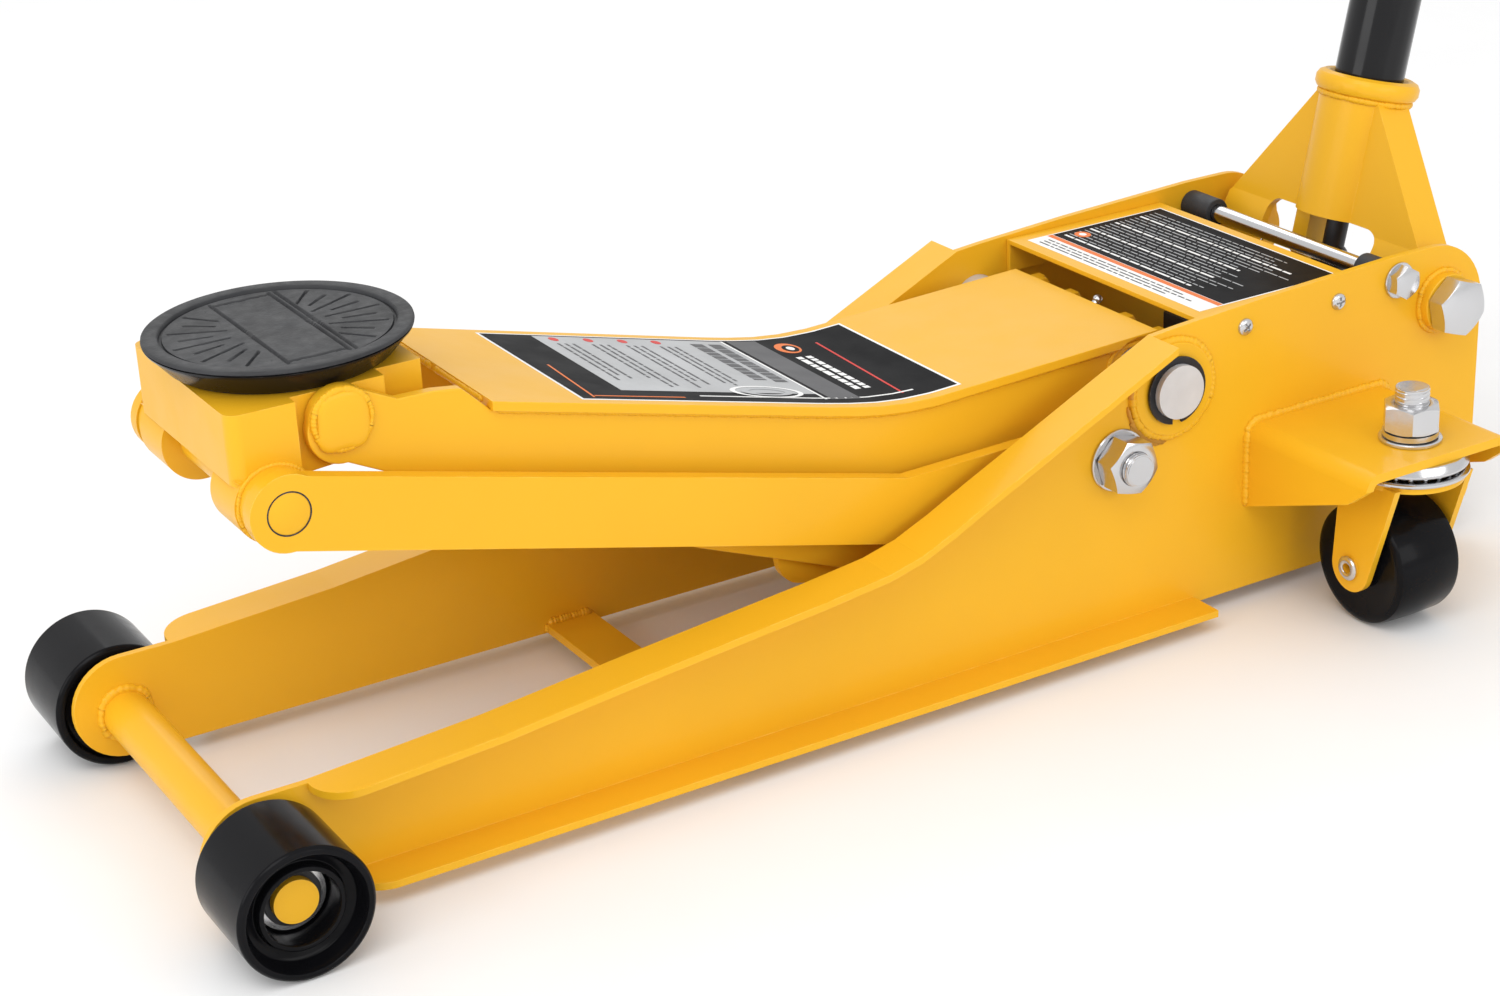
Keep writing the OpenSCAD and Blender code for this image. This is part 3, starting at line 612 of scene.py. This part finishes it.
def bracket_seam(low, high, y):
    """Up one leg of the bent caster bracket, round its two bends and down the other leg."""
    bend, off = 9 * MM, 0.3 * MM
    seam = [Vector((low.x - off, y, low.z + 1 * MM))]
    for x, start in ((low.x + bend, math.pi), (high.x - bend, math.pi / 2)):
        for i in range(7):
            a = start - math.pi / 2 * i / 6
            seam.append(Vector((x + (bend + off) * math.cos(a), y,
                                high.z - bend + (bend + off) * math.sin(a))))
    seam.append(Vector((high.x + off, y, low.z + 1 * MM)))
    return seam


welds = Shape()
BRACKET = {-1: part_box("caster_bracket_left"), 1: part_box("caster_bracket_right")}
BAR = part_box("cross_bar")
PLATE_INNER_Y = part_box("side_plate_right")[0].y
for side in SIDES:
    pin_weld(welds, AXLE, side * PLATE_INNER_Y, 13.2 * MM, 2.9 * MM, 3, ripple=3.2 * MM)
    pin_weld(welds, AXLE, side * PLATE_Y, 12.6 * MM, 1.2 * MM, 4)
    pin_weld(welds, PIVOT, side * (PLATE_Y + 0.6 * MM), 26.8 * MM, 2.8 * MM, 5, ripple=3.0 * MM)
    pin_weld(welds, YOKE, side * (PLATE_Y + 0.6 * MM), 17.4 * MM, 2.0 * MM, 6)
    bead(welds, bracket_seam(*BRACKET[side], side * (PLATE_Y + 0.4 * MM)), 3.2 * MM, seed=7,
         ripple=3.0 * MM, flat=0.6)
    y = side * (PLATE_INNER_Y - 0.5 * MM)
    for x in (BAR[0].x, BAR[1].x):
        bead(welds, [Vector((x, y, BAR[0].z)), Vector((x, y, BAR[1].z))], 2.2 * MM, seed=9)
    y = side * (PLATE_INNER_Y - 0.6 * MM)
    bead(welds, [Vector((BAR[0].x + 1 * MM, y, BAR[1].z + 0.3 * MM)),
                 Vector((BAR[1].x - 1 * MM, y, BAR[1].z + 0.3 * MM))], 3.0 * MM, seed=10)
low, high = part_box("reservoir")
middle = (low + high) / 2
bead(welds, circle(Vector((high.x - 0.5 * MM, 0, middle.z)), X, (high.z - low.z) / 2 - 0.5 * MM),
     2.2 * MM, True, 11)
welds.make("chassis_welds", "chassis", "yellow_paint", sharp=180)

# thinly painted, heat-stained runs of weld: radius, size, start and end in degrees, seed
STAIN_RUNS = ((29.8, 1.9, 96, 172, 12), (31.6, 1.2, 104, 150, 13), (27.6, 2.6, 176, 214, 14))
stains = Shape()
for side in SIDES:
    centre = Vector((PIVOT.x, side * (PLATE_Y + 0.2 * MM), PIVOT.z))
    for radius, size, start, end, seed in STAIN_RUNS:
        bead(stains, circle(centre, Y, radius * MM, 24, math.radians(start), math.radians(end)),
             size * MM, seed=seed, ripple=2.6 * MM, flat=0.6)
stains.make("stained_welds", "chassis", STAINED, slot="yellow_paint", sharp=180)

TOP_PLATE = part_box("arm_top")
arm_height = surface_of("arm_top")
cover_height = surface_of("cover_plate")
ARM_SIDE_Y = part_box("arm_side_right")[1].y

welds = Shape()
for side in SIDES:
    seam = []
    x = TOP_PLATE[0].x + 3 * MM
    while x < TOP_PLATE[1].x - 4 * MM:
        seam.append(Vector((x, side * (ARM_SIDE_Y + 0.3 * MM), arm_height(x, 0) - 5.4 * MM)))
        x += 6 * MM
    bead(welds, seam, 1.5 * MM, seed=21)
    pin_weld(welds, TIP, side * (ARM_SIDE_Y + 0.9 * MM), 14.4 * MM, 1.9 * MM, 22)
    front = [Vector((TOP_PLATE[0].x - 0.2 * MM, y, TOP_PLATE[1].z - 2.5 * MM))
             for y in (side * 2 * MM, side * (ARM_SIDE_Y - 8 * MM))]
    bead(welds, front, 1.8 * MM, seed=23)
    pin_weld(welds, PIVOT, side * (ARM_SIDE_Y + 0.2 * MM), 20.6 * MM, 1.4 * MM, 24)
welds.make("arm_welds", "arm", "yellow_paint", sharp=180)

# the flush, roughly ground welds over the arm's front pins
CAP_R, SQUARENESS = 13.6 * MM, 3.2
CAP_RINGS = ((1.0, 0.0), (0.99, 0.5), (0.95, 1.0), (0.86, 1.5), (0.7, 1.8), (0.45, 1.9),
             (0.02, 2.0))                       # share of the radius, height in millimetres


def ground_cap(lobes):
    """Rows of a rounded square blob. lobes are the (size, phase) of the waves in its outline."""
    rows = []
    for f, lift in CAP_RINGS:
        row = []
        for a in angles(64):
            powers = [abs(v) ** SQUARENESS for v in (math.cos(a), math.sin(a))]
            square = sum(powers) ** (-1 / SQUARENESS)
            wobble = sum(size * math.sin((k + 2) * a + phase)
                         for k, (size, phase) in enumerate(lobes))
            r = (CAP_R * square + wobble * 0.6) * f
            row.append((1.08 * r * math.cos(a), 0.95 * r * math.sin(a), lift * MM))
        rows.append(row)
    return rows


caps = Shape()
for side in SIDES:
    draw = random.Random(27)
    lobes = [(draw.uniform(0.2, 0.7) * MM, draw.uniform(0, 2 * math.pi)) for _ in range(4)]
    place = along(Vector((TIP.x, side * (ARM_SIDE_Y + 1.2 * MM), TIP.z - 1 * MM)), Y * side, up=Z)
    caps.grid(ground_cap(lobes), place)
caps.make("arm_pin_welds", "arm", "yellow_paint", sharp=60)

# the painted ends of the link pin, and a thin dark ring round each: painted shade in the hairline
# gap
PIN_R, PIN_GAP = 10.2 * MM, 10.9 * MM
pin_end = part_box("link_pin")[1].y
gap_shade_rings, ends = Shape(), Shape()
for side in SIDES:
    gap_shade_rings.lathe([(PIN_R, 0), (PIN_GAP, 0), (PIN_GAP, 0.12 * MM), (PIN_R, 0.12 * MM)],
               outward(LINK_FRONT, side, pin_end + 0.35 * MM), closed=True)
    ends.lathe([(CORE, 0), (PIN_R, 0), (PIN_R, 0.35 * MM), (9.7 * MM, 0.6 * MM), (CORE, 0.6 * MM)],
               outward(LINK_FRONT, side, pin_end - 0.2 * MM))
# the dark ring is painted shade where the gap is
gap_shade_rings.make("link_pin_gap", "links", "black_oxide")
ends.make("link_pin_ends", "links", "yellow_paint")

welds = Shape()
for side in SIDES:
    pin_weld(welds, LINK_FRONT, side * 62.2 * MM, 18.2 * MM, 1.6 * MM, 31)
welds.make("head_welds", "head", "yellow_paint", sharp=180)

welds = Shape()
collar = YOKE + HANDLE_AXIS * 97 * MM
bead(welds, circle(collar, HANDLE_AXIS, 26.3 * MM), 1.9 * MM, True, 41)
welds.make("yoke_welds", "yoke", "yellow_paint", sharp=180)


# ---------- labels ----------

# heights of the printed layers above the plate, and how far each reaches down
FILM, FIELD, PRINT, DETAIL, TOPMOST = (n * MM for n in (0.10, 0.18, 0.26, 0.34, 0.42))
SINK = 0.06 * MM


class Label:
    """Print on a curved plate: thin closed patches that follow the plate's height."""

    def __init__(self, height, body, prefix):
        self.height, self.body, self.prefix = height, body, prefix
        self.shapes = {}

    def patch(self, finish, x0, x1, y0, y1, lift, slant=0.0):
        """A patch from x0 to x1 and y0 to y1. slant shifts its x with y, like a parallelogram."""
        shape = self.shapes.setdefault((finish.name, lift), (Shape(), finish))[0]
        steps = max(1, int(abs(x1 - x0) / (4 * MM)))
        rows = []
        for i in range(steps + 1):
            x = x0 + (x1 - x0) * i / steps
            corners = []
            for y in (y0, y1):
                at = x + slant * (y - y0)
                corners.append((at, y, self.height(at, y * 0.9)))
            (xa, ya, za), (xb, yb, zb) = corners
            rows.append([(xa, ya, za + lift - SINK), (xb, yb, zb + lift - SINK),
                         (xb, yb, zb + lift), (xa, ya, za + lift)])
        shape.grid(rows)

    def oval(self, finish, x, y, rx, ry, lift, hole=0.02, steps=32):
        """A filled oval, or a ring whose hole is the given share of its size."""
        shape = self.shapes.setdefault((finish.name, lift), (Shape(), finish))[0]
        rows = []
        for f, z in ((1, -SINK), (1, 0), (hole, 0), (hole, -SINK)):
            row = []
            for a in angles(steps):
                px, py = x + rx * f * math.cos(a), y + ry * f * math.sin(a)
                row.append((px, py, self.height(px, py) + lift + z))
            rows.append(row)
        shape.grid(rows, closed_columns=True)

    def rows_of_print(self, finish, xs, y0, y1, width, lift, seed, longest=13 * MM):
        """Lines of illegible small print: dashes of uneven length."""
        draw = random.Random(seed)
        for x in xs:
            y = y0
            end = y0 + (y1 - y0) * draw.uniform(0.72, 1.0)
            way = 1 if y1 > y0 else -1
            while (end - y) * way > 2 * MM:
                length = min(draw.uniform(3 * MM, longest), abs(end - y))
                self.patch(finish, x, x + width, y, y + way * length, lift)
                y += way * (length + 1.3 * MM)

    def make(self):
        """One object for each colour and layer, named after both."""
        for (finish, lift), (shape, mat) in self.shapes.items():
            name = f"{self.prefix}_{finish}_{round(lift / MM * 100)}"
            shape.make(name, self.body, mat, sharp=60)


label = Label(arm_height, "arm", "arm_label")
x0, x1, half = PIVOT.x - 334 * MM, PIVOT.x - 113 * MM, 59 * MM
label.patch(LABEL_WHITE, x0, x1, -half, half, FILM)
label.patch(LABEL_BLACK, x0 + 1.6 * MM, x1 - 1.6 * MM, -half + 1.6 * MM, half - 1.6 * MM, FIELD)
panel0, panel1 = x0 + 30 * MM, x0 + 142 * MM
label.patch(LABEL_SILVER, panel0, panel1, -half + 17 * MM, half - 3.5 * MM, PRINT)
label.patch(LABEL_ORANGE, x0 + 8 * MM, x0 + 9.2 * MM, -half + 4 * MM, -half + 60 * MM, PRINT, 0.06)
label.patch(LABEL_ORANGE, x0 + 10 * MM, x0 + 60 * MM, -half + 6 * MM, -half + 7.2 * MM, PRINT)
label.patch(LABEL_WHITE, x0 + 70 * MM, x1 - 24 * MM, -half + 9 * MM, -half + 10.4 * MM, PRINT)
for k in range(4):
    x = panel0 + (10 + 20 * k) * MM
    label.oval(LABEL_RED, x, half - 9 * MM, 2.6 * MM, 3.4 * MM, DETAIL)
    label.rows_of_print(LABEL_GREY, [x - 2.2 * MM, x + 2.2 * MM, x + 6.6 * MM], half - 17 * MM,
                        -half + 24 * MM, 1.5 * MM, DETAIL, 50 + k)
title = panel1 - 22 * MM
label.rows_of_print(LABEL_GREY, [title, title + 11 * MM], half - 10 * MM, -half + 30 * MM,
                    7.5 * MM, DETAIL, 61, longest=9 * MM)
label.patch(LABEL_WHITE, panel1, panel1 + 1.4 * MM, -half + 8 * MM, half - 3.5 * MM, PRINT)
label.patch(LABEL_GREY, panel1 + 4 * MM, panel1 + 22 * MM, -half + 8 * MM, half - 3.5 * MM, PRINT)
label.oval(LABEL_WHITE, panel0 + 84 * MM, -half + 19 * MM, 21 * MM, 10 * MM, TOPMOST, hole=0.86)
label.oval(LABEL_SILVER, panel0 + 84 * MM, -half + 19 * MM, 15 * MM, 6.5 * MM, TOPMOST, hole=0.70)
mark = panel1 + 33 * MM
label.oval(LABEL_ORANGE, mark, half - 20 * MM, 7 * MM, 9 * MM, PRINT)
label.oval(LABEL_BLACK, mark + 1 * MM, half - 21 * MM, 4.4 * MM, 6 * MM, DETAIL)
label.oval(LABEL_WHITE, mark + 1 * MM, half - 21 * MM, 2.2 * MM, 3.2 * MM, TOPMOST)
label.rows_of_print(LABEL_WHITE, [mark - 5 * MM, mark + 1 * MM], half - 36 * MM, -half + 22 * MM,
                    3.6 * MM, PRINT, 62, longest=8 * MM)
label.patch(LABEL_RED, mark + 14 * MM, mark + 15.3 * MM, -half + 8 * MM, half - 18 * MM, PRINT,
            0.05)
label.make()

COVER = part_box("cover_plate")
label = Label(cover_height, "chassis", "cover_label")
x0, x1, half = COVER[0].x + 8 * MM, COVER[1].x - 7 * MM, 78 * MM
label.patch(LABEL_WHITE, x0, x1, -half, half, FILM)
label.patch(LABEL_BLACK, x0 + 17.5 * MM, x1 - 1.2 * MM, -half + 1.2 * MM, half - 1.2 * MM, FIELD)
label.patch(LABEL_ORANGE, x0 + 13.5 * MM, x0 + 17.0 * MM, -half + 1 * MM, half - 1 * MM, FIELD)
label.rows_of_print(LABEL_GREY, [x0 + 3.2 * MM, x0 + 6.4 * MM, x0 + 9.6 * MM], half - 7 * MM,
                    -half + 6 * MM, 1.1 * MM, FIELD, 71)
line, x = 0, x0 + 22 * MM
while x < x1 - 6 * MM:
    color, width = (LABEL_WHITE, 1.6) if line % 5 == 0 else (LABEL_SILVER, 0.8)
    label.rows_of_print(color, [x], half - 6 * MM, -half + 6 * MM, width * MM, PRINT, 80 + line)
    x += 3.7 * MM
    line += 1
label.oval(LABEL_ORANGE, x0 + 31 * MM, half - 12 * MM, 4.5 * MM, 5.5 * MM, DETAIL)
label.oval(LABEL_WHITE, x0 + 31 * MM, half - 12 * MM, 2.0 * MM, 2.6 * MM, TOPMOST)
label.make()


# ---------- saddle ----------

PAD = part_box("saddle_pad")
PAD_R = (PAD[1].x - PAD[0].x) / 2
PAD_C = Vector(((PAD[0].x + PAD[1].x) / 2, 0, 0))
RIM_TOP = PAD[1].z


BAND, BAND_END = 15 * MM, 47 * MM               # half width and half length of the blank band


def pad_relief(r, angle):
    """Depth of the moulded lines in the pad's face."""
    x, y = r * math.cos(angle), r * math.sin(angle)
    depth = 0.0

    def line(distance, half_width=0.75 * MM, deep=1.3 * MM):
        return deep * max(0.0, min(1.0, (half_width - distance) / (0.35 * MM) + 0.5))

    if abs(y) < 50 * MM:
        for offset in (BAND, -BAND, BAND + 3.2 * MM):
            depth = max(depth, line(abs(x - offset)))
    if abs(x) < BAND:
        depth = max(depth, line(abs(abs(y) - BAND_END)))
    if abs(x) > BAND + 5 * MM:
        step = math.radians(13)
        base = 0.0 if x > 0 else math.pi
        turn = (angle - base + math.pi) % (2 * math.pi) - math.pi
        k = round(turn / step)
        start, stop = (31 * MM, 47 * MM) if k % 2 else (24 * MM, 52 * MM)
        if abs(k) <= 5 and start < r < stop:
            depth = max(depth, line(abs(r * math.sin(turn - k * step))))
    return depth


CUP_R = PAD_R - 10.5 * MM
FACE = RIM_TOP - 1.4 * MM                       # the pad's sunken middle
PAD_STEPS, PAD_RINGS = 540, 64

cup = Shape()
cup.lathe([(CUP_R - 1.0 * MM, PAD[0].z + 0.2 * MM), (CUP_R, PAD[0].z),
           (CUP_R + 0.9 * MM, PAD[0].z + 0.7 * MM),
           (PAD_R - 2.0 * MM, RIM_TOP - 4.6 * MM), (PAD_R - 0.6 * MM, RIM_TOP - 3.3 * MM),
           (PAD_R - 0.2 * MM, RIM_TOP - 2.4 * MM), (PAD_R - 0.9 * MM, RIM_TOP - 1.9 * MM),
           (PAD_R - 4 * MM, RIM_TOP - 2.2 * MM), (CUP_R - 1.4 * MM, PAD[0].z + 1.4 * MM)],
          Matrix.Translation(PAD_C), steps=180, closed=True)
cup.make("saddle_cup", "saddle", CUP_BLACK, slot="black_paint", sharp=50)

pad = Shape()
edge = [(CUP_R - 3 * MM, PAD[0].z + 3 * MM), (PAD_R - 4 * MM, RIM_TOP - 2.4 * MM),
        (PAD_R - 0.9 * MM, RIM_TOP - 2.1 * MM), (PAD_R, RIM_TOP - 1.5 * MM),
        (PAD_R - 0.2 * MM, RIM_TOP - 0.6 * MM), (PAD_R - 1.2 * MM, RIM_TOP),
        (PAD_R - 7.2 * MM, RIM_TOP - 0.1 * MM), (PAD_R - 8.0 * MM, RIM_TOP - 0.6 * MM),
        (PAD_R - 8.4 * MM, FACE - 1.1 * MM), (PAD_R - 9.6 * MM, FACE - 1.1 * MM),
        (PAD_R - 10.0 * MM, FACE)]
rows = turned_rows(edge, PAD_STEPS)
for k in range(PAD_RINGS):
    r = CUP_R * (1 - k / PAD_RINGS) + 0.2 * MM
    rows.append([(r * math.cos(a), r * math.sin(a), FACE - pad_relief(r, a))
                 for a in angles(PAD_STEPS)])
pad.grid(rows, Matrix.Translation(PAD_C))
pad.make("saddle_rubber", "saddle", "rubber", replaces=["saddle_pad"], sharp=60)


# ---------- wheels ----------

for word in ("left", "right"):
    low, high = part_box(f"caster_wheel_{word}")
    radius, wide, bore = (high.z - low.z) / 2, (high.x - low.x) / 2, 5.05 * MM
    half = [(bore, -wide), (9 * MM, -wide), (9.4 * MM, -wide + 1.6 * MM),
            (13 * MM, -wide + 2.2 * MM), (radius - 9 * MM, -wide + 2.6 * MM),
            (radius - 6 * MM, -wide + 1.6 * MM), (radius - 3.4 * MM, -wide + 1.8 * MM),
            (radius - 1.4 * MM, -wide + 3.2 * MM), (radius - 0.5 * MM, -wide + 6 * MM)]
    profile = half + [(radius, 0)] + [(r, -z) for r, z in reversed(half)]
    tyre = Shape()
    tyre.lathe(profile, along((low + high) / 2, X), steps=96, closed=True)
    tyre.make(f"caster_tyre_{word}", f"caster_wheel_{word[0]}", "roller_black",
              replaces=[f"caster_wheel_{word}"])


# ---------- handle ----------

HANDLE_R = 20 * MM
LENGTH = 1130 * MM
handle = along(YOKE, HANDLE_AXIS, up=X)


def on_handle(z):
    """Place on the handle's axis, z from the yoke's pivot."""
    return handle @ Matrix.Translation((0, 0, z))


GRIP_LENGTH, RIB_PITCH = 150 * MM, 6.2 * MM
grip = Shape()
profile = [(HANDLE_R + 0.2 * MM, 0), (HANDLE_R + 1.2 * MM, 0), (HANDLE_R + 3.0 * MM, 1.4 * MM),
           (HANDLE_R + 3.0 * MM, 6 * MM)]
z = 8 * MM
while z < GRIP_LENGTH - 16 * MM:
    profile += [(HANDLE_R + 1.5 * MM, z), (HANDLE_R + 1.5 * MM, z + 1.3 * MM),
                (HANDLE_R + 2.9 * MM, z + 2.2 * MM),
                (HANDLE_R + 2.9 * MM, z + RIB_PITCH - 1.0 * MM)]
    z += RIB_PITCH
profile += [(HANDLE_R + 3.0 * MM, GRIP_LENGTH - 7 * MM),
            (HANDLE_R + 2.4 * MM, GRIP_LENGTH - 2 * MM),
            (HANDLE_R - 1 * MM, GRIP_LENGTH), (5 * MM, GRIP_LENGTH), (4 * MM, GRIP_LENGTH - 1 * MM),
            (CORE, GRIP_LENGTH - 1 * MM)]
grip.lathe(profile, on_handle(LENGTH - GRIP_LENGTH), steps=72)
grip.make("handle_rubber_grip", "handle", "rubber", replaces=["handle_grip"])

BUMPER_LENGTH = 120 * MM
bumper = Shape()
profile = [(HANDLE_R + 0.1 * MM, 0)]
for k in range(25):
    t = k / 24
    swell = 4.6 * MM * min(1.0, math.sin(math.pi * t) * 6) if 0 < t < 1 else 0.6 * MM
    profile.append((HANDLE_R + 0.3 * MM + swell, BUMPER_LENGTH * t))
profile.append((HANDLE_R + 0.1 * MM, BUMPER_LENGTH))
bumper.lathe(profile, on_handle(300 * MM), steps=64, closed=True)
bumper.make("handle_foam_bumper", "handle", "rubber", replaces=["handle_bumper"])

sleeve = Shape()
sleeve.lathe([(HANDLE_R + 0.02 * MM, -10 * MM), (HANDLE_R + 0.9 * MM, -9 * MM),
              (HANDLE_R + 0.9 * MM, -1 * MM), (HANDLE_R + 0.02 * MM, 0)], on_handle(560 * MM),
             closed=True)
sleeve.make("handle_joint_band", "handle", "black_paint")


# ---------- camera, light, floor ----------

EYE = Vector((-0.8527, -1.1974, 0.6958))
HEADING, DIP, ROLL = math.radians(30.026), math.radians(23.315), math.radians(-2.68)
camera = bpy.data.objects.new("camera", bpy.data.cameras.new("camera"))
bpy.context.scene.collection.objects.link(camera)
gaze = Vector((math.sin(HEADING) * math.cos(DIP), math.cos(HEADING) * math.cos(DIP),
               -math.sin(DIP)))
camera.location = EYE
camera.rotation_euler = (gaze.to_track_quat("-Z", "Y").to_matrix()
                         @ Matrix.Rotation(ROLL, 3, "Z")).to_euler()
camera.data.sensor_width = 36
camera.data.lens = 67.96
camera.data.clip_start = 0.05
bpy.context.scene.camera = camera
bpy.context.scene.view_settings.view_transform = "Standard"


def lamp(name, place, target, size, power):
    """A soft white area light at place, aimed at target."""
    data = bpy.data.lights.new(name, "AREA")
    data.shape = "RECTANGLE"
    data.size, data.size_y = size
    data.energy = power
    obj = bpy.data.objects.new(name, data)
    obj.location = place
    obj.rotation_euler = (Vector(target) - Vector(place)).to_track_quat("-Z", "Y").to_euler()
    bpy.context.scene.collection.objects.link(obj)


lamp("key_light", (-1.3, -1.2, 2.3), (0, 0, 0.1), (1.8, 1.4), 22)
lamp("front_light", (0.4, -2.6, 1.1), (0, 0, 0.15), (2.2, 1.2), 16)
lamp("left_light", (-2.6, -0.2, 1.0), (-0.2, 0, 0.1), (1.6, 1.2), 12)
lamp("back_light", (0.9, 2.2, 2.0), (0.1, 0, 0.2), (2.0, 1.2), 12)

world = bpy.data.worlds.new("studio")
bpy.context.scene.world = world
world.use_nodes = True
backdrop = world.node_tree.nodes["Background"]
backdrop.inputs["Color"].default_value = (1.0, 1.0, 1.0, 1)
backdrop.inputs["Strength"].default_value = 0.88

floor_mesh = bpy.data.meshes.new("floor")
FLOOR = 8.0
floor_mesh.from_pydata([(-FLOOR, -FLOOR, 0), (FLOOR, -FLOOR, 0), (FLOOR, FLOOR, 0),
                        (-FLOOR, FLOOR, 0)], [], [(0, 1, 2, 3)])
floor = bpy.data.objects.new("floor", floor_mesh)
floor.location.z = -0.4 * MM
bpy.context.scene.collection.objects.link(floor)
floor_mesh.materials.append(surface("floor_paint", (0.88, 0.88, 0.88), 0.75, shade=0.01, bump=0.02,
                                  specular=0.1))
